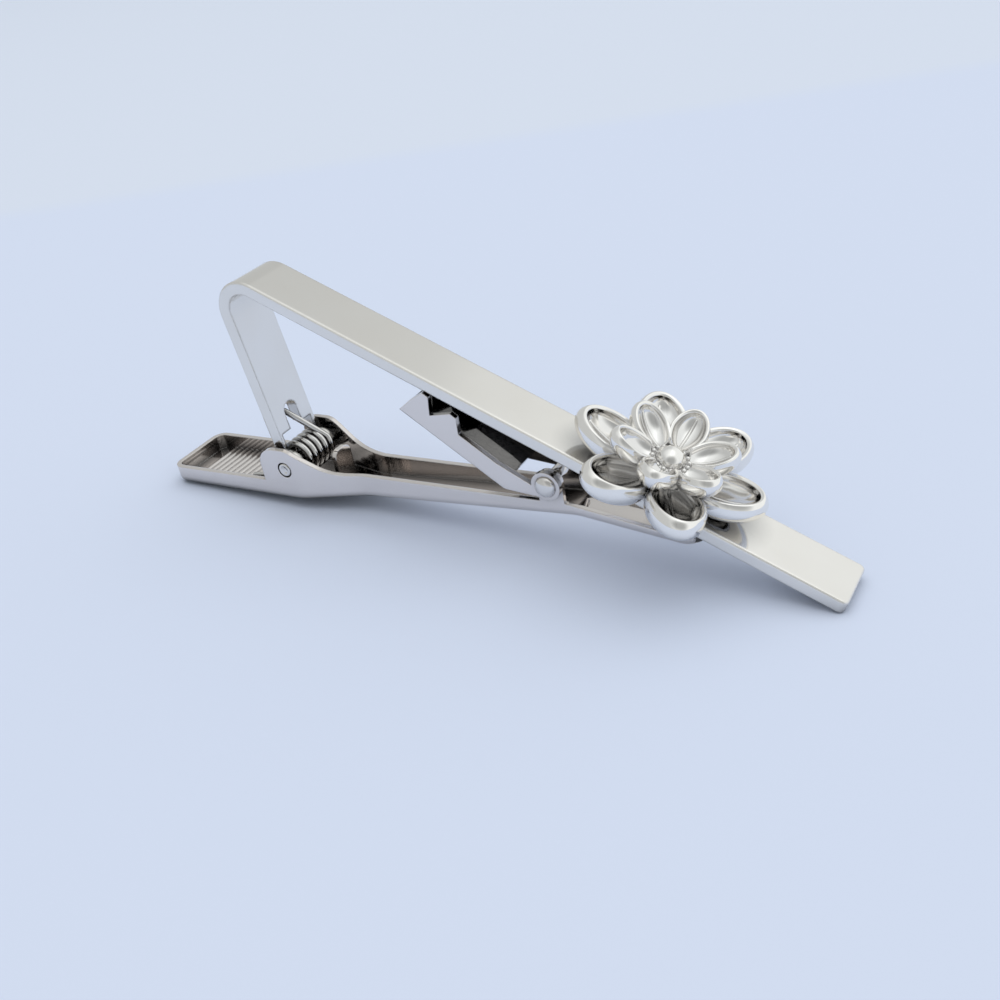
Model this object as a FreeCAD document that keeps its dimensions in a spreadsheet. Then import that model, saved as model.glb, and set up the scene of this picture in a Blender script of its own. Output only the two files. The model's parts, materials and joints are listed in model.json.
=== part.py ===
import FreeCAD, Part
import math
import os

import Sketcher

Vector = FreeCAD.Vector
Placement = FreeCAD.Placement
Rotation = FreeCAD.Rotation

# A tie clip: a bent front bar, a sprung lever hinged on its return leg, and a
# toothed jaw that swivels on the lever. Lengths are millimetres, angles degrees.
# Side views are drawn with X along the piece and Z away from its back.
SIZES = {
    # Front bar, measured from the sharp outer corner of its bend
    "bar_length": 58.7,
    "bar_width": 5.0,
    "bar_gauge": 1.15,
    "bar_edge": 0.18,
    "tip_corner": 0.5,
    "bend_radius": 2.9,
    "leg_angle": 57.7,
    "leg_reach": 19.6,
    "eye_wall": 0.5,
    "slot_width": 1.7,
    "slot_top": 14.5,
    "coil_space": 4.1,
    "coil_shoulder": 16.8,
    # Hinge pin: its centre stands this far in from the outer face of the leg
    "pin_offset": 1.23,
    "pin_radius": 0.75,
    "pin_proud": 0.06,
    "pin_edge": 0.2,
    "running_gap": 0.04,
    "side_gap": 0.55,
    # Lever, measured from the centre of the hinge pin
    "lever_gauge": 0.45,
    "arm_angle": 25.0,
    "arm_width": 4.1,
    "tab_length": 14.6,
    "tab_rim_drop": 1.3,
    "base_drop": 3.2,
    "base_edge": 0.8,
    "tab_corner": 1.2,
    "belly_reach": 0.0,
    "ear_front": 2.7,
    "ear_back": 0.6,
    "ear_rise": 1.95,
    "ear_round": 1.7,
    "ear_foot": 4.4,
    "foot_round": 6.0,
    "neck_start": 1.2,
    "neck_end": 7.2,
    "neck_round": 4.0,
    "rim_drop": 0.5,
    "rivet_reach": 26.25,
    "rivet_rise": 1.25,
    "rivet_ear": 1.1,
    "nose_root": 28.2,
    "root_drop": 1.78,
    "root_round": 5.0,
    "nose_length": 10.4,
    "nose_fall": 1.5,
    "nose_lip": 0.9,
    "nose_round": 1.8,
    "rib_count": 11,
    "rib_pitch": 0.68,
    "rib_radius": 0.3,
    "rib_height": 0.17,
    "rib_start": 1.7,
    "lance_reach": 3.9,
    "lance_width": 2.2,
    "lance_rise": 0.9,
    "lance_round": 0.8,
    # Jaw, measured from the centre of its rivet
    "jaw_gauge": 0.5,
    "jaw_gap": 0.1,
    "jaw_length": 13.45,
    "jaw_depth": 2.97,
    "jaw_rim_drop": 1.15,
    "jaw_edge": 0.3,
    "jaw_ear": 1.25,
    "floor_end": 3.0,
    "tooth_lead": 1.15,
    "tooth_flat": 0.6,
    "tooth_pitch": 2.8,
    "tooth_fall": 0.8,
    "tooth_root": 1.38,
    "tooth_tip": 0.05,
    "bite_gap": 0.06,
    # Jaw rivet
    "rivet_radius": 0.6,
    "rivet_head": 1.05,
    "rivet_dome": 0.6,
    "head_gap": 0.05,
    # Torsion spring round the hinge pin
    "wire": 0.45,
    "coil_radius": 1.5,
    "coil_pitch": 1.0,
    "coil_turns": 3,
    "leg_through": 0.2,
    "leg_lean": 1.9,
    "slot_seat": 0.35,
    "tail_seat": 0.06,
    "tail_reach": 6.0,
    # Rosette on the front bar
    "rosette_along": 42.6,
    "petal_count": 6,
    "hub_height": 1.0,
    "outer_hub": 3.0,
    "outer_length": 3.5,
    "outer_width": 2.3,
    "outer_height": 1.7,
    "outer_centre": 4.55,
    "outer_lift": 1.6,
    "outer_pitch": 12.0,
    "inner_hub": 2.2,
    "inner_length": 2.3,
    "inner_width": 1.55,
    "inner_height": 1.3,
    "inner_centre": 2.9,
    "inner_lift": 2.95,
    "inner_pitch": 24.0,
    "petal_wall": 0.45,
    "hollow_rise": 0.85,
    "stud_radius": 0.75,
    "stud_head": 1.7,
    "stud_dome": 1.35,
    "stud_tail": 1.2,
    "tail_height": 0.4,
    "stud_fit": 0.02,
}

# How far a cutting outline runs past the piece that it cuts.
OVERCUT = 2.0
# Points closer than this count as one.
NEAR = 1e-4
# A rounded end takes all but a trace of the half width on each side.
ROUND_END = 0.48

doc = FreeCAD.newDocument("tie_clip")
sheet = doc.addObject("Spreadsheet::Sheet", "dims")


class Size:
    """A number kept together with the sheet expression that gives it."""

    def __init__(self, value, text):
        self.value = value
        self.text = text

    def __add__(self, other):
        other = as_size(other)
        return Size(self.value + other.value, "(%s + %s)" % (self.text, other.text))

    def __neg__(self):
        return Size(-self.value, "(-1 * %s)" % self.text)

    def __sub__(self, other):
        other = as_size(other)
        return Size(self.value - other.value, "(%s - %s)" % (self.text, other.text))

    def __rsub__(self, other):
        return as_size(other) - self

    def __mul__(self, other):
        other = as_size(other)
        return Size(self.value * other.value, "(%s * %s)" % (self.text, other.text))

    def __truediv__(self, other):
        other = as_size(other)
        return Size(self.value / other.value, "(%s / %s)" % (self.text, other.text))

    __radd__ = __add__
    __rmul__ = __mul__


def as_size(item):
    if isinstance(item, Size):
        return item
    return Size(float(item), repr(float(item)))


def sine(angle):
    return Size(math.sin(math.radians(angle.value)), "sin(%s)" % angle.text)


def cosine(angle):
    return Size(math.cos(math.radians(angle.value)), "cos(%s)" % angle.text)


def write_sheet():
    """One row per size: its name, its number and an alias of the same name."""
    for row, (name, number) in enumerate(SIZES.items(), start=1):
        sheet.set("A%d" % row, name)
        sheet.set("B%d" % row, str(number))
        sheet.setAlias("B%d" % row, name)
    doc.recompute()


def size(name):
    return Size(float(SIZES[name]), "dims." + name)


def bind(thing, prop, amount):
    thing.setExpression(prop, as_size(amount).text)


def origin_item(body, role):
    for item in body.Origin.OriginFeatures:
        if item.Role == role:
            return item
    raise ValueError("no origin item " + role)


def new_body(label):
    body = doc.addObject("PartDesign::Body", label)
    body.Label = label
    return body


def new_sketch(body, name, plane):
    sketch = body.newObject("Sketcher::SketchObject", name)
    sketch.AttachmentSupport = (origin_item(body, plane), [""])
    sketch.MapMode = "FlatFace"
    return sketch


def fix_point(sketch, geometry, point, u, v):
    """Tie one point of a sketch to its two distances from the origin."""
    for kind, axis, amount in (("DistanceX", -2, u), ("DistanceY", -1, v)):
        if abs(amount.value) < NEAR:
            sketch.addConstraint(Sketcher.Constraint("PointOnObject", geometry, point, axis))
            continue
        rule = Sketcher.Constraint(kind, -1, 1, geometry, point, amount.value)
        index = sketch.addConstraint(rule)
        bind(sketch, "Constraints[%d]" % index, amount)


def outline(body, name, plane, corners):
    """A closed sketch of straight edges through the given corners."""
    sketch = new_sketch(body, name, plane)
    corners = [(as_size(u), as_size(v)) for u, v in corners]
    count = len(corners)
    for i, (u, v) in enumerate(corners):
        after = corners[(i + 1) % count]
        start = Vector(u.value, v.value, 0)
        end = Vector(after[0].value, after[1].value, 0)
        sketch.addGeometry(Part.LineSegment(start, end))
    for i in range(count):
        sketch.addConstraint(Sketcher.Constraint("Coincident", i, 2, (i + 1) % count, 1))
    for i, (u, v) in enumerate(corners):
        fix_point(sketch, i, 1, u, v)
    return sketch


def ring(body, name, plane, centre, radius):
    """A sketch of one circle."""
    sketch = new_sketch(body, name, plane)
    u, v = as_size(centre[0]), as_size(centre[1])
    sketch.addGeometry(Part.Circle(Vector(u.value, v.value, 0), Vector(0, 0, 1), radius.value))
    fix_point(sketch, 0, 3, u, v)
    index = sketch.addConstraint(Sketcher.Constraint("Radius", 0, radius.value))
    bind(sketch, "Constraints[%d]" % index, radius)
    return sketch


def extrude(body, kind, name, sketch, width):
    """A pad or pocket of the given width, half to each side of its sketch."""
    before = body.Shape.Volume if body.Tip else 0.0
    feature = body.newObject("PartDesign::" + kind, name)
    feature.Profile = sketch
    feature.SideType = "Symmetric"
    feature.Length = as_size(width).value
    bind(feature, "Length", width)
    doc.recompute()
    if kind == "Pocket" and not body.Shape.Volume < before - NEAR:
        raise ValueError(name + " cuts nothing")
    return feature


def edges_where(shape, test):
    """Names of the edges of which every sampled point passes the test."""
    names = []
    for i, edge in enumerate(shape.Edges, start=1):
        if all(test(point) for point in edge.discretize(5)):
            names.append("Edge%d" % i)
    return names


def at_corner(u, v, first="x", second="z"):
    """A test for points on the line that shows as one corner of a view."""
    u, v = as_size(u).value, as_size(v).value

    def test(point):
        return abs(getattr(point, first) - u) < NEAR and abs(getattr(point, second) - v) < NEAR

    return test


def body_fillet(body, name, test, radius):
    """Round the edges of a body that pass the test."""
    base = body.Tip
    names = edges_where(base.Shape, test)
    if not names:
        raise ValueError("no edges for " + name)
    feature = body.newObject("PartDesign::Fillet", name)
    feature.Base = (base, names)
    feature.Radius = as_size(radius).value
    bind(feature, "Radius", radius)
    doc.recompute()
    return feature


def boolean(kind, name, base, tool):
    feature = doc.addObject("Part::" + kind, name)
    feature.Label = name
    feature.Base = base
    feature.Tool = tool
    doc.recompute()
    return feature


def cross_cylinder(name, radius, length, u, v):
    """A cylinder across the piece, centred on its middle plane."""
    cylinder = doc.addObject("Part::Cylinder", name)
    bind(cylinder, "Radius", radius)
    bind(cylinder, "Height", length)
    cylinder.Placement = Placement(Vector(), Rotation(Vector(1, 0, 0), -90))
    bind(cylinder, "Placement.Base.x", u)
    bind(cylinder, "Placement.Base.y", -as_size(length) / 2)
    bind(cylinder, "Placement.Base.z", v)
    doc.recompute()
    return cylinder


# Lines of the bent strip, seen from the side: the leg runs down and away from
# the outer corner, and the inner way points from its outer to its inner face.
def leg_point(along, inward):
    angle = size("leg_angle")
    along, inward = as_size(along), as_size(inward)
    return (along * cosine(angle) + inward * sine(angle),
            inward * cosine(angle) - along * sine(angle))


def head_width():
    return size("bar_width") + 2 * (size("side_gap") + size("lever_gauge"))


def eye_bore():
    return size("pin_radius") + size("running_gap")


def eye_radius():
    return eye_bore() + size("eye_wall")


def make_front_bar():
    """The strip with its bend, then the hinge eyes, the slot and the stud hole."""
    body = new_body("front_bar")
    gauge, width = size("bar_gauge"), size("bar_width")
    length, reach = size("bar_length"), size("leg_reach")
    angle = size("leg_angle")
    inner_corner = (gauge * (1 + cosine(angle)) / sine(angle), -gauge)
    corners = [
        (length, 0),
        (0, 0),
        leg_point(reach, 0),
        leg_point(reach, gauge),
        inner_corner,
        (length, -gauge),
    ]
    extrude(body, "Pad", "strip", outline(body, "strip_outline", "XZ_Plane", corners), width)
    body_fillet(body, "outer_bend", at_corner(0, 0), size("bend_radius"))
    body_fillet(body, "inner_bend", at_corner(*inner_corner), size("bend_radius") - gauge)
    for side, name in ((1, "far"), (-1, "near")):
        corner = at_corner(length, side * width / 2, "x", "y")
        body_fillet(body, "tip_corner_" + name, corner, size("tip_corner"))
    round_strip_edges(body)
    centre = leg_point(reach, size("pin_offset"))
    eye = ring(body, "eye_outline", "XZ_Plane", centre, eye_radius())
    extrude(body, "Pad", "eye", eye, width)
    bore = ring(body, "eye_bore_outline", "XZ_Plane", centre, eye_bore())
    extrude(body, "Pocket", "eye_bore", bore, 2 * width)
    cut_slot(body)
    hole = ring(body, "stud_hole_outline", "XY_Plane", (size("rosette_along"), 0), stud_bore())
    extrude(body, "Pocket", "stud_hole", hole, 4 * gauge)
    return body


def round_strip_edges(body):
    """Soften the long edges of the strip, round the tip and the bend."""
    half = SIZES["bar_width"] / 2
    tip = SIZES["bar_length"] - SIZES["tip_corner"]
    end = leg_point(size("leg_reach"), 0)
    leg = Vector(end[0].value, 0, end[1].value).normalize()

    def on_rim(point):
        on_end = abs(Vector(point.x, 0, point.z).dot(leg) - SIZES["leg_reach"]) < NEAR
        on_side = abs(abs(point.y) - half) < NEAR and not on_end
        level = abs(point.z) < NEAR or abs(point.z + SIZES["bar_gauge"]) < NEAR
        return on_side or (level and point.x > tip - NEAR)

    body_fillet(body, "strip_edges", on_rim, size("bar_edge"))


def cut_slot(body):
    """The slot for the spring leg, wider below where the coil sits between the eyes."""
    cut_across_leg(body, "slot", size("slot_top"), size("slot_width"))
    half = SIZES["slot_width"] / 2
    mark = leg_point(size("slot_top"), 0)
    leg = Vector(mark[0].value, 0, mark[1].value).normalize()

    def in_corner(point):
        along = Vector(point.x, 0, point.z).dot(leg)
        return abs(along - SIZES["slot_top"]) < NEAR and abs(abs(point.y) - half) < NEAR

    body_fillet(body, "slot_end", in_corner, size("slot_width") * ROUND_END)
    cut_across_leg(body, "coil_slot", size("coil_shoulder"), size("coil_space"))


def cut_across_leg(body, name, top, width):
    """A cut through the leg from a given reach to its open end."""
    depth = eye_radius() + size("pin_offset") + OVERCUT
    end = size("leg_reach") + eye_radius() + OVERCUT
    corners = [
        leg_point(top, -depth),
        leg_point(end, -depth),
        leg_point(end, depth),
        leg_point(top, depth),
    ]
    sketch = outline(body, name + "_outline", "XZ_Plane", corners)
    extrude(body, "Pocket", name, sketch, width)


def lever_levels():
    """Corners of the underside of the lever, from the tab to the nose."""
    root, drop = size("nose_root"), size("root_drop")
    return [
        (-size("tab_length"), -size("base_drop")),
        (size("belly_reach"), -size("base_drop")),
        (root, -drop),
        (root + size("nose_length"), -drop - size("nose_fall")),
    ]


def make_lever_side():
    """Side view of the lever, as deep as its widest part."""
    body = new_body("lever_side")
    tab, belly, root, nose = lever_levels()
    ear_top, rim = size("ear_rise"), -size("rim_drop")
    post, post_top = size("rivet_ear"), size("rivet_rise") + size("rivet_ear")
    reach = size("rivet_reach")
    corners = [
        (-size("tab_length"), -size("tab_rim_drop")),
        (-size("ear_front"), -size("tab_rim_drop")),
        (-size("ear_front"), ear_top),
        (size("ear_back"), ear_top),
        (size("ear_foot"), rim),
        (reach - post, rim),
        (reach - post, post_top),
        (reach + post, post_top),
        (reach + post, rim),
        (nose[0], nose[1] + size("nose_lip")),
        nose, root, belly, tab,
    ]
    sketch = outline(body, "lever_side_outline", "XZ_Plane", corners)
    extrude(body, "Pad", "lever_blank", sketch, head_width())
    body_fillet(body, "ear_front_round", at_corner(*corners[2]), size("ear_round"))
    body_fillet(body, "ear_back_round", at_corner(*corners[3]), size("ear_round"))
    body_fillet(body, "ear_foot_round", at_corner(*corners[4]), size("foot_round"))
    for i, name in ((6, "rivet_ear_front"), (7, "rivet_ear_back")):
        body_fillet(body, name, at_corner(*corners[i]), 2 * post * ROUND_END)
    body_fillet(body, "root_bend", at_corner(*root), size("root_round"))
    return body


def plan_corners(inset, nose_over):
    """Half of the lever seen from above, drawn in by an inset."""
    head = head_width() / 2 - inset
    arm = size("arm_width") / 2 - inset
    nose = size("nose_root") + size("nose_length") + nose_over
    return [
        (-size("tab_length") + inset, head),
        (size("neck_start"), head),
        (size("neck_end"), arm),
        (nose, arm),
    ]


def make_lever_plan(name, inset, nose_over):
    """Outline of the lever from above, as a tall block."""
    body = new_body(name)
    far = plan_corners(inset, nose_over)
    near = [(u, -v) for u, v in reversed(far)]
    sketch = outline(body, name + "_outline", "XY_Plane", far + near)
    extrude(body, "Pad", name + "_block", sketch, 4 * (size("base_drop") + size("ear_rise")))
    neck = size("neck_round")
    for index, radius in enumerate((size("tab_corner") - inset, neck, neck)):
        for points, label in ((far, "far"), (near[::-1], "near")):
            u, v = points[index]
            bend = "%s_%s_bend%d" % (name, label, index)
            body_fillet(body, bend, at_corner(u, v, "x", "y"), radius)
    return body


def make_lever_hollow():
    """Side view of the space inside the channel, open above and at the nose."""
    body = new_body("lever_hollow")
    gauge = size("lever_gauge")
    tab, belly, root, nose = [(u, v + gauge) for u, v in lever_levels()]
    slope = (nose[1] - root[1]) / (nose[0] - root[0])
    past = (nose[0] + OVERCUT, nose[1] + slope * OVERCUT)
    above = size("rivet_rise") + size("rivet_ear") + size("ear_rise")
    corners = [(tab[0] + gauge, tab[1]), belly, root, past, (past[0], above), (tab[0] + gauge, above)]
    sketch = outline(body, "lever_hollow_outline", "XZ_Plane", corners)
    extrude(body, "Pad", "lever_hollow_block", sketch, head_width())
    body_fillet(body, "hollow_root", at_corner(*root), size("root_round") - gauge)
    return body


def make_ribs():
    """Cross ribs that give the thumb a hold on the floor of the tab."""
    body = new_body("ribs")
    floor = -size("base_drop") + size("lever_gauge")
    first = -size("tab_length") + size("lever_gauge") + size("rib_start")
    level = floor + size("rib_height") - size("rib_radius")
    sketch = ring(body, "rib_outline", "XZ_Plane", (first, level), size("rib_radius"))
    rib = extrude(body, "Pad", "rib", sketch, size("bar_width") + 2 * size("side_gap"))
    pattern = body.newObject("PartDesign::LinearPattern", "rib_row")
    pattern.Originals = [rib]
    pattern.Direction = (origin_item(body, "X_Axis"), [""])
    bind(pattern, "Length", size("rib_pitch") * (size("rib_count") - 1))
    bind(pattern, "Occurrences", size("rib_count"))
    body.Tip = pattern
    doc.recompute()
    return body


def make_lance():
    """A round-topped tab raised from the floor beside the spring."""
    body = new_body("lance")
    half = size("lance_width") / 2
    foot = -size("base_drop") + size("lever_gauge") / 2
    corners = [(-half, foot), (half, foot), (half, size("lance_rise")), (-half, size("lance_rise"))]
    sketch = outline(body, "lance_outline", "YZ_Plane", corners)
    extrude(body, "Pad", "lance_blade", sketch, size("lever_gauge"))
    for u, v in corners[2:]:
        label = "lance_far" if u.value > 0 else "lance_near"
        body_fillet(body, label, at_corner(u, v, "y", "z"), size("lance_round"))
    bind(body, "Placement.Base.x", size("lance_reach"))
    doc.recompute()
    return body


def make_lever():
    """The pressed channel: its outline less the space inside, with ribs and tab."""
    gauge = size("lever_gauge")
    plan = make_lever_plan("lever_plan", as_size(0), as_size(0))
    inside = make_lever_plan("lever_plan_inside", gauge, as_size(OVERCUT))
    nose = size("nose_root") + size("nose_length")
    for side, name in ((1, "far"), (-1, "near")):
        corner = at_corner(nose, side * size("arm_width") / 2, "x", "y")
        body_fillet(plan, "nose_" + name, corner, size("nose_round"))
    blank = boolean("Common", "lever_form", make_lever_side(), plan)
    soft = doc.addObject("Part::Fillet", "lever_soft")
    soft.Base = blank
    soft.Edges = [(int(name[4:]), SIZES["base_edge"], SIZES["base_edge"])
                  for name in edges_where(blank.Shape, on_lever_base)]
    doc.recompute()
    hollow = boolean("Common", "lever_space", make_lever_hollow(), inside)
    channel = boolean("Cut", "lever_channel", soft, hollow)
    ribbed = boolean("Fuse", "lever_ribbed", channel, make_ribs())
    tabbed = boolean("Fuse", "lever_tabbed", ribbed, make_lance())
    length = 2 * head_width()
    pin_hole = cross_cylinder("pin_hole", size("pin_radius"), length, 0, 0)
    rivet_hole = cross_cylinder("rivet_hole", size("rivet_radius"), length,
                                size("rivet_reach"), size("rivet_rise"))
    drilled = boolean("Cut", "lever_drilled", tabbed, pin_hole)
    return boolean("Cut", "lever", drilled, rivet_hole)


def on_lever_base(point):
    """True on the lower edges of the lever, along its sides and round the tab."""
    base, belly = SIZES["base_drop"], SIZES["belly_reach"]
    root, drop = SIZES["nose_root"], SIZES["root_drop"]
    line = -base + (base - drop) * max(point.x - belly, 0.0) / (root - belly)
    low = abs(point.z - line) < NEAR
    on_tab_end = point.x < SIZES["tab_corner"] - SIZES["tab_length"] + NEAR
    on_side = abs(point.y) > SIZES["arm_width"] / 2 - NEAR
    return low and (on_side or on_tab_end)


def jaw_inside():
    return size("arm_width") + 2 * size("jaw_gap")


def jaw_width():
    return jaw_inside() + 2 * size("jaw_gauge")


def jaw_teeth():
    """Corners of the two teeth, from the end of the jaw towards its rivet."""
    tip, root = size("tooth_tip"), -size("tooth_root")
    start = -size("jaw_length") + size("tooth_lead")
    corners = []
    for i in range(2):
        lead = start + i * size("tooth_pitch")
        corners.append((lead, tip))
        corners.append((lead + size("tooth_flat"), tip))
        if i == 0:
            corners.append((lead + size("tooth_flat") + size("tooth_fall"), root))
    return corners


def make_jaw():
    """A channel with two teeth on each wall and an ear at each side for the rivet."""
    body = new_body("jaw")
    depth, rim = -size("jaw_depth"), -size("jaw_rim_drop")
    teeth = jaw_teeth()
    last = teeth[-1][0]
    corners = [
        (-size("jaw_length"), depth),
        (-size("jaw_length") + size("tooth_lead") / 2, rim),
    ] + teeth + [
        (last + size("tooth_fall"), rim),
        (-size("floor_end") - size("jaw_ear"), rim),
        (0, -size("rivet_radius")),
        (0, -size("jaw_ear")),
        (-size("floor_end"), depth),
    ]
    sketch = outline(body, "jaw_outline", "XZ_Plane", corners)
    extrude(body, "Pad", "jaw_blank", sketch, jaw_width())
    ear = ring(body, "jaw_ear_outline", "XZ_Plane", (0, 0), size("jaw_ear"))
    extrude(body, "Pad", "jaw_ears", ear, jaw_width())
    half = jaw_width().value / 2
    back = -SIZES["floor_end"]

    def on_back_edge(point):
        low = abs(point.z + SIZES["jaw_depth"]) < NEAR
        return low and abs(abs(point.y) - half) < NEAR and point.x < back + NEAR

    body_fillet(body, "jaw_back_edges", on_back_edge, size("jaw_edge"))
    floor = depth + size("jaw_gauge")
    left, right = -size("jaw_length") - OVERCUT, size("jaw_ear") + OVERCUT
    above, below = size("jaw_ear") + OVERCUT, depth - OVERCUT
    space = [(left, floor), (-size("floor_end"), floor), (-size("floor_end"), below),
             (right, below), (right, above), (left, above)]
    channel = outline(body, "jaw_space", "XZ_Plane", space)
    extrude(body, "Pocket", "jaw_channel", channel, jaw_inside())
    bore = ring(body, "jaw_bore_outline", "XZ_Plane", (0, 0), size("rivet_radius") + size("running_gap"))
    extrude(body, "Pocket", "jaw_bore", bore, 2 * jaw_width())
    return body


def make_pivot_pin():
    body = new_body("pivot_pin")
    length = head_width() + 2 * size("pin_proud")
    sketch = ring(body, "pin_outline", "XZ_Plane", (0, 0), size("pin_radius"))
    extrude(body, "Pad", "pin_shank", sketch, length)
    half = length.value / 2
    body_fillet(body, "pin_ends", lambda p: abs(abs(p.y) - half) < NEAR, size("pin_edge"))
    return body


def dome(name, base, rise):
    """A spherical cap standing on its flat base, with its axis along Z."""
    cap = doc.addObject("Part::Sphere", name)
    radius = (base * base + rise * rise) / (2 * rise)
    bind(cap, "Radius", radius)
    bind(cap, "Angle1", Size(0.0, "asin(%s)" % ((radius - rise) / radius).text))
    return cap, radius - rise


def make_jaw_rivet():
    """A shank through the lever ears with a domed head outside each jaw ear."""
    face = jaw_width() / 2 + size("head_gap")
    pieces = [cross_cylinder("rivet_shank", size("rivet_radius"), 2 * face, 0, 0)]
    for side, name in ((1, "rivet_head_far"), (-1, "rivet_head_near")):
        cap, sunk = dome(name, size("rivet_head"), size("rivet_dome"))
        cap.Placement = Placement(Vector(), Rotation(Vector(1, 0, 0), -90 * side))
        bind(cap, "Placement.Base.y", side * (face - sunk))
        pieces.append(cap)
    rivet = doc.addObject("Part::MultiFuse", "jaw_rivet")
    rivet.Label = "jaw_rivet"
    rivet.Shapes = pieces
    doc.recompute()
    return rivet


def turn(vector, angle):
    """Turn a vector of the side view, counter-clockwise as seen with X to the right."""
    c, s = math.cos(angle), math.sin(angle)
    return Vector(vector.x * c - vector.z * s, vector.y, vector.x * s + vector.z * c)


def biarc(start, along, end, after):
    """Two arcs that join two points and keep a given direction at each."""
    span = end - start
    both = along + after
    a = 2 * (along.dot(after) - 1)
    b = -2 * span.dot(both)
    c = span.dot(span)
    reach = (-b - math.sqrt(b * b - 4 * a * c)) / (2 * a) if abs(a) > NEAR else -c / b
    reach = abs(reach)
    first, second = start + along * reach, end - after * reach
    middle = (first + second) * 0.5
    return [arc_from(start, along, middle), arc_from(end, after * -1, middle)]


def arc_from(start, along, end):
    """The arc that leaves a point in a direction and ends at another point."""
    chord = end - start
    aside = along - chord * (along.dot(chord) / chord.dot(chord))
    half_turn = math.atan2(aside.Length * chord.Length, along.dot(chord)) / 2
    rise = chord.Length / 2 * math.tan(half_turn)
    middle = start + chord * 0.5 + aside.normalize() * rise
    return Part.Arc(start, middle, end).toShape()


def spring_ends():
    """Where the wire leaves the coil, and the far ends of its two legs."""
    radius = SIZES["coil_radius"]
    pin = leg_point(size("leg_reach"), size("pin_offset"))
    along = SIZES["slot_top"] + SIZES["wire"] + SIZES["slot_seat"]
    seat = leg_point(along, size("bar_gauge") / 2)
    upper = Vector(seat[0].value - pin[0].value, 0, seat[1].value - pin[1].value)
    floor = SIZES["base_drop"] - SIZES["lever_gauge"] - SIZES["rib_height"]
    low = Vector(-SIZES["tail_reach"], 0, -floor + SIZES["wire"] / 2 + SIZES["tail_seat"])
    low = turn(low, math.radians(SIZES["arm_angle"]))
    top_angle = math.atan2(upper.z, upper.x) - math.acos(radius / upper.Length)
    low_angle = math.atan2(low.z, low.x) + math.acos(radius / low.Length)
    run = math.sqrt(upper.Length ** 2 - radius ** 2) + SIZES["leg_through"]
    tail = math.sqrt(low.Length ** 2 - radius ** 2)
    return top_angle, low_angle, run, tail


def spring_path():
    """A straight leg, the turns of the coil and a straight tail, as one chain."""
    radius, pitch = SIZES["coil_radius"], SIZES["coil_pitch"]
    top_angle, low_angle, run, tail = spring_ends()
    sweep = (top_angle - low_angle) % (2 * math.pi) + 2 * math.pi * SIZES["coil_turns"]
    steps = math.ceil(sweep / (math.pi / 2))
    rise = pitch * sweep / (2 * math.pi)
    points, ways = [], []
    for i in range(steps + 1):
        angle = top_angle - sweep * i / steps
        points.append(turn(Vector(radius, rise / 2 - rise * i / steps, 0), angle))
        slope = -rise / (sweep * radius)
        if i == 0:
            slope = SIZES["leg_lean"] / (run - SIZES["leg_through"])
        if i == steps:
            slope = 0.0
        ways.append(turn(Vector(0, slope, -1), angle).normalize())
    edges = [Part.makeLine(points[0] - ways[0] * run, points[0])]
    for i in range(steps):
        edges += biarc(points[i], ways[i], points[i + 1], ways[i + 1])
    edges.append(Part.makeLine(points[-1], points[-1] + ways[-1] * tail))
    return edges


def make_spring():
    """The wire swept along its path as one unbroken tube."""
    edges = spring_path()
    path = Part.Wire(Part.__sortEdges__(edges))
    start = edges[0].Vertexes[0].Point
    way = edges[0].Vertexes[1].Point - start
    section = Part.Wire(Part.makeCircle(SIZES["wire"] / 2, start, way))
    sweep = Part.BRepOffsetAPI.MakePipeShell(path)
    sweep.add(section)
    sweep.build()
    sweep.makeSolid()
    spring = doc.addObject("Part::Feature", "spring")
    spring.Label = "spring"
    spring.Shape = sweep.shape()
    length = sum(edge.Length for edge in edges)
    report_spring(path, length, spring.Shape.Volume)
    return spring


def report_spring(path, length, volume):
    """Print the least gap between turns, and the tube's volume against its length."""
    wire = SIZES["wire"]
    count = int(length / (wire / 4))
    points = path.discretize(count)
    apart = int(3 * wire / (length / count))
    least = min((points[i] - points[j]).Length
                for i in range(count) for j in range(i + apart, count))
    section = math.pi * wire ** 2 / 4
    print("spring: least gap to itself %.3f mm" % (least - wire))
    print("spring: volume over section times length %.4f" % (volume / (section * length)))


def stud_bore():
    return size("stud_radius") + size("stud_fit")


def add_ellipsoid(body, kind, name, radii, place):
    """An ellipsoid with its long way along X, leaning about Y."""
    feature = body.newObject("PartDesign::" + kind, name)
    length, width, height = radii
    bind(feature, "Radius1", height)
    bind(feature, "Radius2", length)
    bind(feature, "Radius3", width)
    u, v, pitch = place
    feature.Placement = Placement(Vector(), Rotation(Vector(0, 1, 0), -pitch.value))
    bind(feature, "Placement.Base.x", u)
    bind(feature, "Placement.Base.z", v)
    bind(feature, "Placement.Rotation.Angle", -pitch)
    doc.recompute()
    return feature


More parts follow.
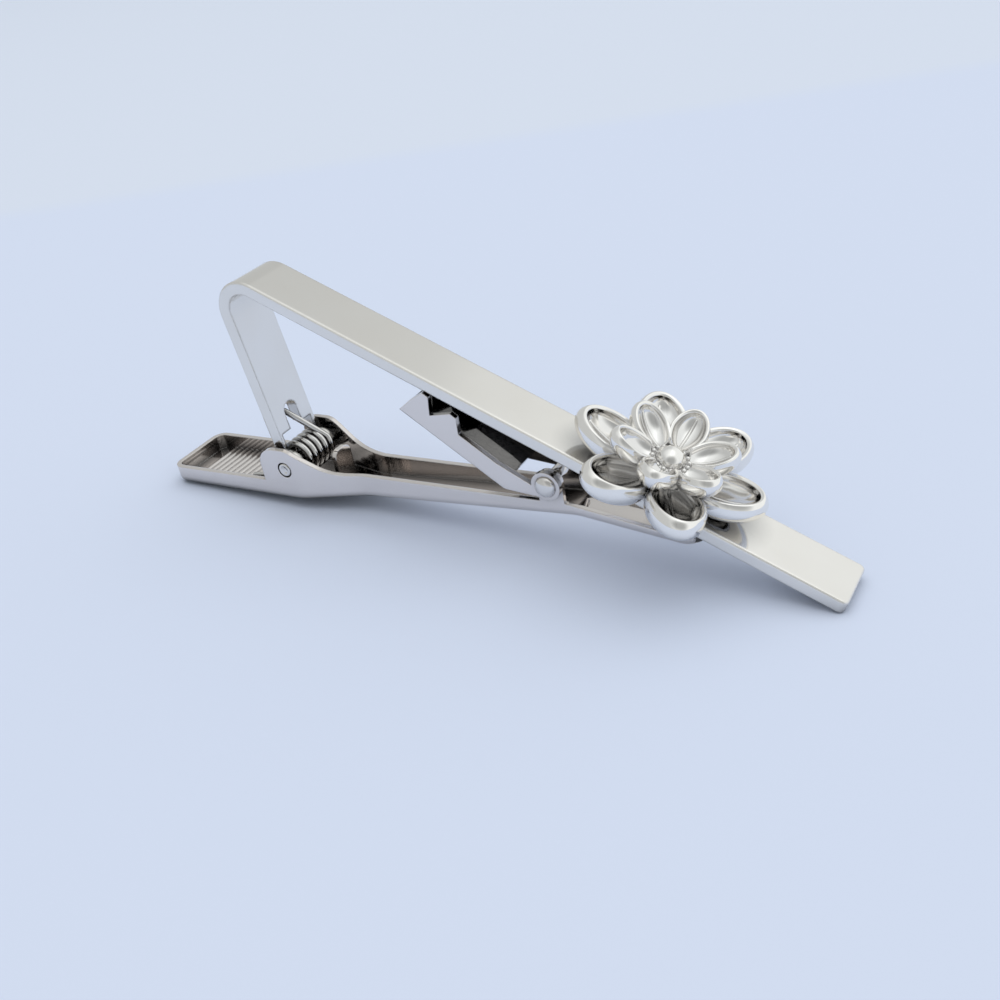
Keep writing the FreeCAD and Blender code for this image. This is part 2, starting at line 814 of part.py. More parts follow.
def make_petals(label, layer, floor, well, spin):
    """A hub with a ring of cupped petals, cut flat underneath and clear above the hub."""
    body = new_body(label)
    hub = body.newObject("PartDesign::AdditiveCylinder", label + "_hub")
    bind(hub, "Radius", size(layer + "_hub"))
    bind(hub, "Height", size("hub_height"))
    bind(hub, "Placement.Base.z", floor)
    doc.recompute()
    radii = [size(layer + "_" + way) for way in ("length", "width", "height")]
    wall, rise = size("petal_wall"), size("hollow_rise")
    u, v, pitch = size(layer + "_centre"), size(layer + "_lift"), size(layer + "_pitch")
    petal = add_ellipsoid(body, "AdditiveEllipsoid", label + "_petal", radii, (u, v, pitch))
    cup = add_ellipsoid(body, "SubtractiveEllipsoid", label + "_cup",
                        [radius - wall for radius in radii],
                        (u - rise * sine(pitch), v + rise * cosine(pitch), pitch))
    pattern = body.newObject("PartDesign::PolarPattern", label + "_ring")
    pattern.Originals = [petal, cup]
    pattern.Axis = (origin_item(body, "Z_Axis"), [""])
    pattern.Angle = 360
    bind(pattern, "Occurrences", size("petal_count"))
    body.Tip = pattern
    doc.recompute()
    reach = u + radii[0]
    low = body.newObject("PartDesign::SubtractiveCylinder", label + "_base")
    bind(low, "Radius", 2 * reach)
    bind(low, "Height", radii[2] + OVERCUT)
    bind(low, "Placement.Base.z", floor - radii[2] - OVERCUT)
    doc.recompute()
    seat = body.newObject("PartDesign::SubtractiveCylinder", label + "_well")
    bind(seat, "Radius", well + size("stud_fit"))
    bind(seat, "Height", 2 * reach)
    bind(seat, "Placement.Base.z", floor + size("hub_height"))
    doc.recompute()
    bore = body.newObject("PartDesign::SubtractiveCylinder", label + "_bore")
    bind(bore, "Radius", stud_bore())
    bind(bore, "Height", 2 * reach)
    bind(bore, "Placement.Base.z", -reach)
    doc.recompute()
    body.Placement = Placement(Vector(), Rotation(Vector(0, 0, 1), spin))
    doc.recompute()
    return body


def make_rosette():
    """Two layers of petals, the upper turned half a step and seated on the lower."""
    well = size("inner_hub")
    outer = make_petals("rosette_outer", "outer", as_size(0), well, 0.0)
    below = make_petals("rosette_below", "outer", as_size(0), well, 0.0)
    half_step = 180.0 / SIZES["petal_count"]
    above = make_petals("rosette_above", "inner", size("hub_height"), size("stud_head"), half_step)
    inner = boolean("Cut", "rosette_inner", above, below)
    return outer, inner


def make_stud():
    """A domed stud through both layers and the bar, headed under the bar."""
    top = 2 * size("hub_height")
    gauge, tail = size("bar_gauge"), size("tail_height")
    shank = doc.addObject("Part::Cylinder", "stud_shank")
    bind(shank, "Radius", size("stud_radius"))
    bind(shank, "Height", top + gauge)
    bind(shank, "Placement.Base.z", -gauge)
    head, sunk = dome("stud_cap", size("stud_head"), size("stud_dome"))
    bind(head, "Placement.Base.z", top - sunk)
    foot = doc.addObject("Part::Cylinder", "stud_foot")
    bind(foot, "Radius", size("stud_tail"))
    bind(foot, "Height", tail)
    bind(foot, "Placement.Base.z", -gauge - tail)
    stud = doc.addObject("Part::MultiFuse", "rosette_stud")
    stud.Label = "rosette_stud"
    stud.Shapes = [shank, head, foot]
    doc.recompute()
    return stud


def place_at(point, angle):
    """A frame in the side view, turned up by an angle in degrees."""
    return Placement(Vector(point[0], 0, point[1]), Rotation(Vector(0, 1, 0), -angle))


def lever_frame():
    """The lever in the frame of the bar, with the clip closed."""
    u, v = leg_point(size("leg_reach"), size("pin_offset"))
    return place_at((u.value, v.value), SIZES["arm_angle"])


def jaw_frame():
    """The jaw in the frame of the bar, its first tooth just under the bar."""
    rivet = lever_frame().multVec(Vector(SIZES["rivet_reach"], 0, SIZES["rivet_rise"]))
    tip_x = SIZES["jaw_length"] - SIZES["tooth_lead"]
    tip_z = SIZES["tooth_tip"]
    climb = -SIZES["bar_gauge"] - SIZES["bite_gap"] - rivet.z
    lean = math.asin(climb / math.hypot(tip_x, tip_z)) - math.atan2(tip_z, tip_x)
    return place_at((rivet.x, rivet.z), -math.degrees(lean))


def rest_frame():
    """The bar as the clip lies on a table, on its tip and the heel of the tab."""
    heel = SIZES["base_edge"]
    centre = lever_frame().multVec(Vector(heel - SIZES["tab_length"], 0, heel - SIZES["base_drop"]))
    tip = Vector(SIZES["bar_length"], 0, -SIZES["bar_gauge"])
    edge = SIZES["bar_edge"]
    toe = tip + Vector(-edge, 0, edge)
    gap = toe - centre
    slope = math.atan2(gap.z, gap.x) + math.asin((heel - edge) / gap.Length)
    return Placement(Vector(), Rotation(Vector(0, 1, 0), math.degrees(slope)))


def on_bar(name):
    return Placement(Vector(SIZES[name], 0, 0), Rotation())


def check_and_export(pieces):
    """Stop on any failed object, then write one file per piece."""
    for item in doc.Objects:
        if "Invalid" in item.State or "Error" in item.State:
            raise ValueError("%s failed: %s" % (item.Label, item.State))
    os.makedirs("parts", exist_ok=True)
    for piece in pieces:
        shape = piece.Shape
        if shape.isNull() or not shape.isValid():
            raise ValueError(piece.Label + " has no valid shape")
        print("%-14s %d solid(s) %9.3f mm3" % (piece.Label, len(shape.Solids), shape.Volume))
        shape.exportStep("parts/%s.step" % piece.Label)


def main():
    write_sheet()
    outer, inner = make_rosette()
    frames = [
        (make_front_bar(), Placement()),
        (make_lever(), lever_frame()),
        (make_pivot_pin(), lever_frame()),
        (make_jaw(), jaw_frame()),
        (make_jaw_rivet(), jaw_frame()),
        (make_spring(), Placement(lever_frame().Base, Rotation())),
        (outer, on_bar("rosette_along")),
        (inner, on_bar("rosette_along")),
        (make_stud(), on_bar("rosette_along")),
    ]
    rest = rest_frame()
    for piece, frame in frames:
        piece.Placement = rest.multiply(frame).multiply(piece.Placement)
    doc.recompute()
    box = FreeCAD.BoundBox()
    for piece, frame in frames:
        box.add(piece.Shape.optimalBoundingBox())
    middle = Vector((box.XMin + box.XMax) / 2, (box.YMin + box.YMax) / 2, box.ZMin)
    shift = Placement(middle * -1, Rotation())
    for piece, frame in frames:
        piece.Placement = shift.multiply(piece.Placement)
    doc.recompute()
    print("size %.2f x %.2f x %.2f mm" % (box.XLength, box.YLength, box.ZLength))
    for name, frame in (("hinge", lever_frame()), ("jaw rivet", jaw_frame())):
        point = shift.multiply(rest).multVec(frame.Base)
        print("%s axis at X %.3f Z %.3f" % (name, point.x, point.z))
    check_and_export([piece for piece, frame in frames])


main()
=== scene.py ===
# %% [markdown]
# # A polished tie clip
# This lesson dresses a tie clip that was built as solids: a bent front bar, a sprung
# thumb lever, a small toothed jaw and a petal rosette. The solids arrive as a fixed
# frame, in metres, lying on a table with +Z up. The steps below set up a camera, a
# pale table and soft light, give every metal its finish, and make the pieces that need
# finer modelling than a solid has.

# %% Load the frame
import json
import math

import bmesh
import bpy
from mathutils import Matrix, Quaternion, Vector


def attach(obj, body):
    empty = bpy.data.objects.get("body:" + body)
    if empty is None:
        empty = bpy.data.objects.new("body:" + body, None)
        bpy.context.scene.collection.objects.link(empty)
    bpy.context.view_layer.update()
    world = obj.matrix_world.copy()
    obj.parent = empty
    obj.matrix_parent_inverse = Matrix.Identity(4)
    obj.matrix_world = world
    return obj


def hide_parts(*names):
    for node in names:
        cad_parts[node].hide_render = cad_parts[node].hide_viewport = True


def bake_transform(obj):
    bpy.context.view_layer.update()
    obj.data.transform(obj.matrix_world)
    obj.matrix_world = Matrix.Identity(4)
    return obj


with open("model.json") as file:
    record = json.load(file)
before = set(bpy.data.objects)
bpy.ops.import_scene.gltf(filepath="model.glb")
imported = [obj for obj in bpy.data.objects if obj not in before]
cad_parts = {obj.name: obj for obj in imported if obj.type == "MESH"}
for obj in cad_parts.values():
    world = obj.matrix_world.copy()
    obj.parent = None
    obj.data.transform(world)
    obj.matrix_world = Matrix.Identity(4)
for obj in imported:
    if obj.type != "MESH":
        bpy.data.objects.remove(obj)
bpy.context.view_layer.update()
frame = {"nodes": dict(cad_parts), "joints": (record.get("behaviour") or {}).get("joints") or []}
MM = 0.001
joint_at = {joint["name"]: Vector(joint["pos_m"]) for joint in frame["joints"]}
print("nodes:", sorted(frame["nodes"]))

# %% [markdown]
# ## The camera
# The clip is seen from close by, from some thirty degrees above and to the right of its
# middle, so the near end of the bar looks larger than the bend behind it. A camera that
# stands only ten centimetres away gives that strong perspective. Its roll is part of the
# turn, because the photo's camera was held slightly askew.

# %% Camera
CAMERA_PLACE = Vector((48.199, -68.788, 53.005)) * MM
CAMERA_TURN = Quaternion((0.851030, 0.456826, 0.175294, 0.190604))
SENSOR_WIDTH_MM = 36.0
LENS_MM = 41.593
NEAREST_SEEN = 5 * MM
FARTHEST_SEEN = 20.0

camera_data = bpy.data.cameras.new("close_camera")
camera_data.sensor_width = SENSOR_WIDTH_MM
camera_data.lens = LENS_MM
camera_data.clip_start = NEAREST_SEEN
camera_data.clip_end = FARTHEST_SEEN
camera = bpy.data.objects.new("close_camera", camera_data)
camera.rotation_mode = "QUATERNION"
camera.location = CAMERA_PLACE
camera.rotation_quaternion = CAMERA_TURN
bpy.context.scene.collection.objects.link(camera)
bpy.context.scene.camera = camera
print("camera distance in mm:", round(camera.location.length / MM, 1))

# %% [markdown]
# ## Table and light
# Polished metal shows mostly what stands round it, so the room matters as much as the
# finish. The table is a wide sheet of pale blue paper that turns a little greyer past a
# slanting edge behind the clip. The room is painted by direction alone. It grows brighter
# toward the right, with one clear step where a window begins, is brightest overhead, and
# has a soft darker patch round the camera, where light is blocked. The step draws the
# break in the shine along the top of the bar. One wide lamp overhead gives the soft
# shadow, and stays out of the reflections, which the room already fills.

# %% Node helpers
def set_inputs(tree, node, values):
    """Give each input its value, or a link where the value is another node's output."""
    for socket, value in values.items():
        if isinstance(value, bpy.types.NodeSocket):
            tree.links.new(value, node.inputs[socket])
        else:
            node.inputs[socket].default_value = value


def ramp(tree, value, source, target=(0.0, 1.0), smooth=False):
    change = tree.nodes.new("ShaderNodeMapRange")
    change.interpolation_type = "SMOOTHSTEP" if smooth else "LINEAR"
    set_inputs(tree, change, {
        "Value": value,
        "From Min": source[0], "From Max": source[1],
        "To Min": target[0], "To Max": target[1],
    })
    return change.outputs["Result"]


def facing(tree, way, direction, source, target):
    share = tree.nodes.new("ShaderNodeVectorMath")
    share.operation = "DOT_PRODUCT"
    set_inputs(tree, share, {0: way, 1: direction})
    return ramp(tree, share.outputs["Value"], source, target, smooth=True)


def mix_colours(tree, factor, first, second):
    mix = tree.nodes.new("ShaderNodeMix")
    mix.data_type = "RGBA"
    set_inputs(tree, mix, {"Factor": factor, "A": first, "B": second})
    return mix.outputs["Result"]


print("node helpers:", [helper.__name__ for helper in (set_inputs, ramp, facing, mix_colours)])

# %% Table
TABLE_REACH = 4.0
PAPER = (0.656, 0.716, 0.860, 1.0)
PAPER_BEYOND = (0.676, 0.728, 0.836, 1.0)
PAPER_ROUGHNESS = 0.95
PAPER_GLOSS = 0.05
EDGE_WAY = (-0.576, 0.818, 0.0)
EDGE_FROM_TO = (119 * MM, 131 * MM)


def make_paper():
    paper = bpy.data.materials.new("pale_paper")
    paper.use_nodes = True
    tree = paper.node_tree
    place = tree.nodes.new("ShaderNodeTexCoord").outputs["Object"]
    beyond = facing(tree, place, EDGE_WAY, EDGE_FROM_TO, (0.0, 1.0))
    set_inputs(tree, tree.nodes["Principled BSDF"], {
        "Base Color": mix_colours(tree, beyond, PAPER, PAPER_BEYOND),
        "Roughness": PAPER_ROUGHNESS,
        "Specular IOR Level": PAPER_GLOSS,
    })
    return paper


def make_table():
    sheet = bmesh.new()
    bmesh.ops.create_grid(sheet, x_segments=2, y_segments=2, size=TABLE_REACH)
    mesh = bpy.data.meshes.new("table")
    sheet.to_mesh(mesh)
    sheet.free()
    mesh.materials.append(make_paper())
    table = bpy.data.objects.new("table", mesh)
    bpy.context.scene.collection.objects.link(table)
    return table


table = make_table()
print("table spans", round(table.dimensions.x, 1), "m")

# %% Room
ROOM_TINT = (0.96, 0.99, 1.0, 1.0)
RIGHT = (1.0, 0.0, 0.0)
WINDOW_SIDE = (0.96, 0.24, -0.15)
OVERHEAD = (0.0, 0.0, 1.0)
TOWARD_CAMERA = CAMERA_PLACE.normalized()


def make_room():
    room = bpy.data.worlds.new("bright_room")
    bpy.context.scene.world = room
    room.use_nodes = True
    tree = room.node_tree
    way = tree.nodes.new("ShaderNodeTexCoord").outputs["Generated"]
    strength = facing(tree, way, RIGHT, source=(-0.45, 0.25), target=(0.66, 0.93))
    for level in (
        facing(tree, way, WINDOW_SIDE, source=(-0.02, 0.02), target=(0.92, 1.05)),
        facing(tree, way, OVERHEAD, source=(0.70, 0.97), target=(1.0, 1.35)),
        facing(tree, way, TOWARD_CAMERA, source=(0.70, 0.99), target=(1.0, 0.45)),
    ):
        product = tree.nodes.new("ShaderNodeMath")
        product.operation = "MULTIPLY"
        set_inputs(tree, product, {0: strength, 1: level})
        strength = product.outputs["Value"]
    set_inputs(tree, tree.nodes["Background"], {"Color": ROOM_TINT, "Strength": strength})
    return room


print("room:", make_room().name)

# %% Lamp
LAMP_PLACE = Vector((0.0, 0.10, 0.90))
LAMP_WIDTH = 1.40
LAMP_WATTS = 2.8


def add_lamp(name):
    data = bpy.data.lights.new(name, "AREA")
    data.shape = "DISK"
    data.size = LAMP_WIDTH
    data.energy = LAMP_WATTS
    lamp = bpy.data.objects.new(name, data)
    bpy.context.scene.collection.objects.link(lamp)
    lamp.location = LAMP_PLACE
    lamp.rotation_mode = "QUATERNION"
    lamp.rotation_quaternion = (-LAMP_PLACE).to_track_quat("-Z", "Y")
    lamp.visible_glossy = False
    return lamp


bpy.context.scene.view_settings.view_transform = "Standard"
print("lamp:", add_lamp("overhead_light").name)

# %% [markdown]
# ## Plated metal
# The whole clip is brass or steel under a bright nickel plate. A plate is never a
# perfect mirror: it has a faint haze, small changes of polish where it was handled, and
# hairline scratches that run along each piece. The finish below mixes a slow noise for
# the haze with a stretched noise for the hairlines, paints shade into the colour inside
# the channel, round the coil and in every other recess, where little light reaches, and
# rounds every sharp edge in the shading a little, as polishing does.

# %% Patterns on the plate
HAIRLINE_PITCH = (120.0, 2600.0, 2600.0)
HAIRLINE_DETAIL = 3.0
CLOUD_PITCH = 220.0
CLOUD_DETAIL = 4.0


def hairline_pattern(tree, place, turn):
    along = tree.nodes.new("ShaderNodeMapping")
    set_inputs(tree, along, {
        "Vector": place, "Rotation": (0.0, turn, 0.0), "Scale": HAIRLINE_PITCH,
    })
    noise = tree.nodes.new("ShaderNodeTexNoise")
    set_inputs(tree, noise, {
        "Vector": along.outputs["Vector"], "Scale": 1.0, "Detail": HAIRLINE_DETAIL,
    })
    return noise.outputs["Fac"]


def cloud_pattern(tree, place):
    noise = tree.nodes.new("ShaderNodeTexNoise")
    set_inputs(tree, noise, {"Vector": place, "Scale": CLOUD_PITCH, "Detail": CLOUD_DETAIL})
    return noise.outputs["Fac"]


print("hairlines per metre, along and across:", HAIRLINE_PITCH[0], HAIRLINE_PITCH[1])

# %% Colour, painted shade and relief of the plate
HANDLED = (0.93, 0.915, 0.89)
PAINTED_SHADE_TONE = (0.80, 0.79, 0.78)
PAINTED_SHADE_OPENNESS = (0.32, 0.92)
PAINTED_SHADE_SAMPLES = 6
HAIRLINE_DEPTH = 0.02 * MM
SOFT_EDGE_SAMPLES = 4


# Painted shade: where ambient occlusion finds surfaces close by, in corners, recesses and between
# parts, the colour is mixed toward a dark tone. The cloud noise only varies the tone.
def plate_colour_with_painted_shade(tree, cloud, tint, recess_shade, shade_reach):
    handled = [part * share for part, share in zip(tint, HANDLED)]
    plate = mix_colours(tree, cloud, (*tint, 1.0), (*handled, 1.0))
    shade_probe = tree.nodes.new("ShaderNodeAmbientOcclusion")
    shade_probe.samples = PAINTED_SHADE_SAMPLES
    set_inputs(tree, shade_probe, {"Distance": shade_reach})
    openness = ramp(tree, shade_probe.outputs["AO"], PAINTED_SHADE_OPENNESS)
    painted_shade = [recess_shade * share for share in PAINTED_SHADE_TONE]
    return mix_colours(tree, openness, (*painted_shade, 1.0), plate)


def plate_relief(tree, place, grain, grain_turn, edge):
    soft_edge = tree.nodes.new("ShaderNodeBevel")
    soft_edge.samples = SOFT_EDGE_SAMPLES
    set_inputs(tree, soft_edge, {"Radius": edge})
    relief = tree.nodes.new("ShaderNodeBump")
    set_inputs(tree, relief, {
        "Strength": grain,
        "Distance": HAIRLINE_DEPTH,
        "Height": hairline_pattern(tree, place, grain_turn),
        "Normal": soft_edge.outputs["Normal"],
    })
    return relief.outputs["Normal"]


print("hairline depth in mm:", HAIRLINE_DEPTH / MM)

# %% Plate finish
CLOUD_CONTRAST = (0.35, 0.70)
# How far the painted shade looks for surfaces close by.
PAINTED_SHADE_REACH = 2.2 * MM


def plated(name, tint, recess_shade, polish, haze, edge, grain=0.0, grain_turn=0.0, shade_reach=PAINTED_SHADE_REACH):
    metal = bpy.data.materials.new(name)
    metal.use_nodes = True
    tree = metal.node_tree
    place = tree.nodes.new("ShaderNodeTexCoord").outputs["Object"]
    cloud = cloud_pattern(tree, place)
    set_inputs(tree, tree.nodes["Principled BSDF"], {
        "Metallic": 1.0,
        "Base Color": plate_colour_with_painted_shade(tree, cloud, tint, recess_shade, shade_reach),
        "Roughness": ramp(tree, cloud, CLOUD_CONTRAST, (polish, polish + haze)),
        "Normal": plate_relief(tree, place, grain, grain_turn, edge),
    })
    return metal


print("recesses are felt within", PAINTED_SHADE_REACH / MM, "mm")

# %% [markdown]
# ## Six finishes
# The pieces of a real clip are polished and plated before they are put together, so each
# comes out a little different. The bar is a broad buffed face whose hairlines follow its
# slope. Lever and jaw are pressed sheet, warmer in tone, with painted shade inside that is
# almost black; the jaw's reaches farthest, as the bar covers it. The rosette has little
# painted shade in its cups, the pins are plain steel, and the spring has painted shade
# between its turns. One function makes all six, with those few values changed.

# %% Mix the finishes
TILT = math.radians(21.9834)
# The jaw's painted shade looks farther for surfaces close by, so it comes out darkest.
JAW_SHADE_REACH = 6.5 * MM
PRESSED = {
    "tint": (0.785, 0.745, 0.725), "recess_shade": 0.10, "polish": 0.05, "haze": 0.08,
    "edge": 0.16 * MM, "grain": 0.03, "grain_turn": 0.05,
}

bar_plate = plated("bar_plate_finish", tint=(0.85, 0.83, 0.795), recess_shade=0.50, polish=0.09,
                   haze=0.05, edge=0.28 * MM, grain=0.04, grain_turn=-TILT)
lever_plate = plated("lever_plate_finish", **PRESSED)
jaw_plate = plated("jaw_plate_finish", **PRESSED, shade_reach=JAW_SHADE_REACH)
rosette_plate = plated("rosette_plate_finish", tint=(0.94, 0.925, 0.90), recess_shade=0.88,
                       polish=0.07, haze=0.06, edge=0.02 * MM)
pin_steel = plated("pin_steel_finish", tint=(0.78, 0.76, 0.74), recess_shade=0.50, polish=0.10,
                   haze=0.10, edge=0.06 * MM, grain=0.02)
spring_wire = plated("spring_wire_finish", tint=(0.80, 0.79, 0.78), recess_shade=0.14, polish=0.08,
                     haze=0.08, edge=0.03 * MM)
finishes = (bar_plate, lever_plate, jaw_plate, rosette_plate, pin_steel, spring_wire)
print("finishes:", [finish.name for finish in finishes])

# %% Dress the solids
FINISH_OF_NODE = {
    "front_bar": bar_plate, "lever": lever_plate, "jaw": jaw_plate,
    "pivot_pin": pin_steel, "jaw_rivet": pin_steel, "spring": spring_wire,
    "rosette_outer": rosette_plate, "rosette_inner": rosette_plate,
    "rosette_stud": rosette_plate,
}
for node, finish in FINISH_OF_NODE.items():
    solid = frame["nodes"][node]
    solid.data.materials.clear()
    solid.data.materials.append(finish)
    print(node, len(solid.data.polygons), "faces in", finish.name)

# %% [markdown]
# ## The spring
# A torsion spring pushes the lever shut. It is one length of hard drawn wire, wound
# close on a mandrel so that each turn lies against the next, with a straight leg left
# at both ends: one hooks through the slot in the bar's leg and the other lies along the
# floor of the lever. A round wire section is turned about the hinge while it moves
# sideways, which gives the coil, and its two open ends are then drawn out into legs.

# %% Wind the coil
HINGE = joint_at["lever_hinge"]
WIRE_RADIUS = 0.29 * MM
WIRE_SIDES = 14
COIL_RADIUS = 1.5 * MM
COIL_SPAN = 3.30 * MM
UPPER_ANGLE = math.radians(61.13) - TILT
LOWER_ANGLE = math.radians(-57.57) - TILT
EXTRA_TURNS = 4
STEPS_PER_TURN = 48


def coil_point(angle, across):
    spoke = Vector((COIL_RADIUS * math.cos(angle), across, COIL_RADIUS * math.sin(angle)))
    return HINGE + spoke


def edges_of(verts):
    return list(dict.fromkeys(edge for vert in verts for edge in vert.link_edges))


def wind_coil(form):
    sweep = UPPER_ANGLE - LOWER_ANGLE + EXTRA_TURNS * math.tau
    steps = round(STEPS_PER_TURN * sweep / math.tau)
    ahead = Vector((math.sin(UPPER_ANGLE), 0.0, -math.cos(UPPER_ANGLE)))
    section = Matrix.Translation(coil_point(UPPER_ANGLE, COIL_SPAN / 2))
    section = section @ ahead.to_track_quat("Z", "Y").to_matrix().to_4x4()
    ring = bmesh.ops.create_circle(form, cap_ends=False, segments=WIRE_SIDES,
                                   radius=WIRE_RADIUS, matrix=section)["verts"]
    bmesh.ops.spin(form, geom=ring + edges_of(ring), cent=HINGE, axis=(0, 1, 0), angle=sweep,
                   dvec=(0, -COIL_SPAN / steps, 0), steps=steps)
    return steps


spring_form = bmesh.new()
print("coil steps:", wind_coil(spring_form))

# %% Draw out the two legs
UPPER_LEG = 4.28 * MM
UPPER_LEAN = -2.00 * MM
LOWER_LEG = 6.20 * MM
CUT_END_ROUND = 0.35 * WIRE_RADIUS


def open_edges(form):
    return [edge for edge in form.edges if edge.is_boundary]


def draw_leg(form, start, run):
    end = [edge for edge in open_edges(form)
           if (edge.verts[0].co - start).length < 2 * WIRE_RADIUS]
    grown = bmesh.ops.extrude_edge_only(form, edges=end)["geom"]
    verts = [item for item in grown if isinstance(item, bmesh.types.BMVert)]
    bmesh.ops.translate(form, verts=verts, vec=run)
    rim = [item for item in grown if isinstance(item, bmesh.types.BMEdge) and item.is_boundary]
    cap = bmesh.ops.contextual_create(form, geom=rim)["faces"]
    bmesh.ops.bevel(form, geom=cap[0].edges[:], offset=CUT_END_ROUND, segments=2, profile=0.5,
                    affect="EDGES", material=-1)


upper_way = Vector((-math.sin(UPPER_ANGLE), 0.0, math.cos(UPPER_ANGLE)))
lower_way = Vector((math.sin(LOWER_ANGLE), 0.0, -math.cos(LOWER_ANGLE)))
draw_leg(spring_form, coil_point(UPPER_ANGLE, COIL_SPAN / 2),
         UPPER_LEG * upper_way + Vector((0.0, UPPER_LEAN, 0.0)))
draw_leg(spring_form, coil_point(LOWER_ANGLE, -COIL_SPAN / 2), LOWER_LEG * lower_way)
print("spring faces:", len(spring_form.faces))

# %% Turn the drawn spring into a piece
LEG_SHARE = 0.2


def make_piece(name, form, finish):
    bmesh.ops.recalc_face_normals(form, faces=form.faces)
    mesh = bpy.data.meshes.new(name)
    form.to_mesh(mesh)
    form.free()
    mesh.shade_smooth()
    mesh.materials.append(finish)
    piece = bpy.data.objects.new(name, mesh)
    bpy.context.scene.collection.objects.link(piece)
    return piece


spring = make_piece("close_wound_spring", spring_form, spring_wire)
# A slant for the wire from bar to lever; it is worked out here, but nothing uses it.
slant = Vector((0.0, 1.0, 0.0)) + LEG_SHARE * upper_way
slant *= MM / slant.length_squared
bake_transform(spring)
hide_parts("spring")
print(spring.name, len(spring.data.polygons), "faces")

# %% [markdown]
# ## The rosette
# The ornament is cast as two rings of cupped petals, one on the other, and riveted to
# the bar by a stud whose head is the flower's eye. A caster would carve one petal and
# repeat it round the ring. Here a petal is the lower part of a stretched ball, hollowed
# by a smaller one, with the two rims joined and rounded off and a round rib laid along
# the bottom of the cup. The ring then comes from turning that petal about the stud.

# %% Cut a ball and lay a rib
BALL_COLUMNS = 72
BALL_ROWS = 32
ON_THE_CUT = 1e-9
RIB_SIDES = 14
RIB_STEPS = 28
RIB_REACH = 0.86


def cut_away(form, geom, point, outward):
    bmesh.ops.bisect_plane(form, geom=geom, plane_co=point, plane_no=outward, clear_outer=True,
                           dist=ON_THE_CUT)


def half_ball(form, radii, lift, cut):
    place = Matrix.Translation((0.0, 0.0, lift)) @ Matrix.Diagonal((*radii, 1.0))
    verts = bmesh.ops.create_uvsphere(form, u_segments=BALL_COLUMNS, v_segments=BALL_ROWS,
                                      radius=1.0, matrix=place)["verts"]
    faces = list(dict.fromkeys(face for vert in verts for face in vert.link_faces))
    cut_away(form, verts + edges_of(verts) + faces, (0, 0, cut), (0, 0, 1))


def add_midrib(form, hollow, top, gauge):
    bottom = top - hollow[2]
    bend = hollow[0] ** 2 / hollow[2]
    half_sweep = math.asin(RIB_REACH * hollow[0] / bend)
    centre = Vector((0.0, 0.0, bottom + bend))
    start = Matrix.Translation(centre) @ Matrix.Rotation(-half_sweep, 4, "Y")
    start = start @ Matrix.Translation((0, 0, -bend)) @ Matrix.Rotation(math.pi / 2, 4, "Y")
    ring = bmesh.ops.create_circle(form, cap_ends=False, segments=RIB_SIDES, radius=gauge,
                                   matrix=start)["verts"]
    bmesh.ops.spin(form, geom=ring + edges_of(ring), cent=centre, axis=(0, 1, 0),
                   angle=2 * half_sweep, steps=RIB_STEPS)
    bmesh.ops.holes_fill(form, edges=open_edges(form))


print("ball faces before the cut:", BALL_COLUMNS * BALL_ROWS)

# %% Shape the two petals
CUP_DEPTH = 0.72
LIP_DROP = 0.4
LIP_ROUND = 0.32
NARROWING = 0.20


def shape_petal(length, width, height, rim, lip, rib):
    form = bmesh.new()
    half_ball(form, (length, width, height), 0.0, rim)
    short = math.sqrt(1.0 - (rim / height) ** 2)
    hollow = (length * short - lip, width * short - lip, height * CUP_DEPTH)
    hollow_top = rim - LIP_DROP * lip
    half_ball(form, hollow, hollow_top, hollow_top)
    rims = open_edges(form)
    bmesh.ops.bridge_loops(form, edges=rims)
    bmesh.ops.recalc_face_normals(form, faces=form.faces)
    bmesh.ops.bevel(form, geom=rims, offset=LIP_ROUND * lip, segments=3, profile=0.5,
                    affect="EDGES", material=-1)
    add_midrib(form, hollow, hollow_top, rib)
    for vert in form.verts:
        vert.co.y *= min(1.0, 1.0 + NARROWING * vert.co.x / length)
    return form


outer_petal = shape_petal(length=3.5 * MM, width=2.3 * MM, height=1.7 * MM, rim=0.80 * MM,
                          lip=0.30 * MM, rib=0.17 * MM)
inner_petal = shape_petal(length=2.3 * MM, width=1.55 * MM, height=1.3 * MM, rim=0.58 * MM,
                          lip=0.24 * MM, rib=0.13 * MM)
print("petal faces:", len(outer_petal.faces), len(inner_petal.faces))

# %% Repeat round the stud and add a disc
DISC_SIDES = 48
LEVEL = 1e-7


def repeat_round(form, count):
    geom = form.verts[:] + form.edges[:] + form.faces[:]
    step = math.tau / count
    bmesh.ops.spin(form, geom=geom, cent=(0, 0, 0), axis=(0, 0, 1), angle=step * (count - 1),
                   steps=count - 1, use_duplicate=True)


def add_disc(form, radius, low, high, softness, rounds=3):
    place = Matrix.Translation((0, 0, (low + high) / 2))
    verts = bmesh.ops.create_cone(form, cap_ends=True, segments=DISC_SIDES, radius1=radius,
                                  radius2=radius, depth=high - low, matrix=place)["verts"]
    rims = [edge for edge in edges_of(verts)
            if abs(edge.verts[0].co.z - edge.verts[1].co.z) < LEVEL]
    bmesh.ops.bevel(form, geom=rims, offset=softness, segments=rounds, profile=0.5,
                    affect="EDGES", material=-1)


print("disc sides:", DISC_SIDES)

# %% Set the petals in rings
BAR_CORNER = Vector((-22.293, 0.0, 22.986)) * MM
BAR = Matrix.Translation(BAR_CORNER) @ Matrix.Rotation(TILT, 4, "Y")
ROSETTE_ALONG = 42.6 * MM
ROSETTE = BAR @ Matrix.Translation((ROSETTE_ALONG, 0.0, 0.0))
PETALS = 6
HUB = 1.0 * MM
HUB_ROUND = 0.12 * MM
EYE = 1.7 * MM
SAME_POINT = 0.0005 * MM


def trim(form, point, outward):
    cut_away(form, form.verts[:] + form.edges[:] + form.faces[:], point, outward)
    bmesh.ops.holes_fill(form, edges=open_edges(form))


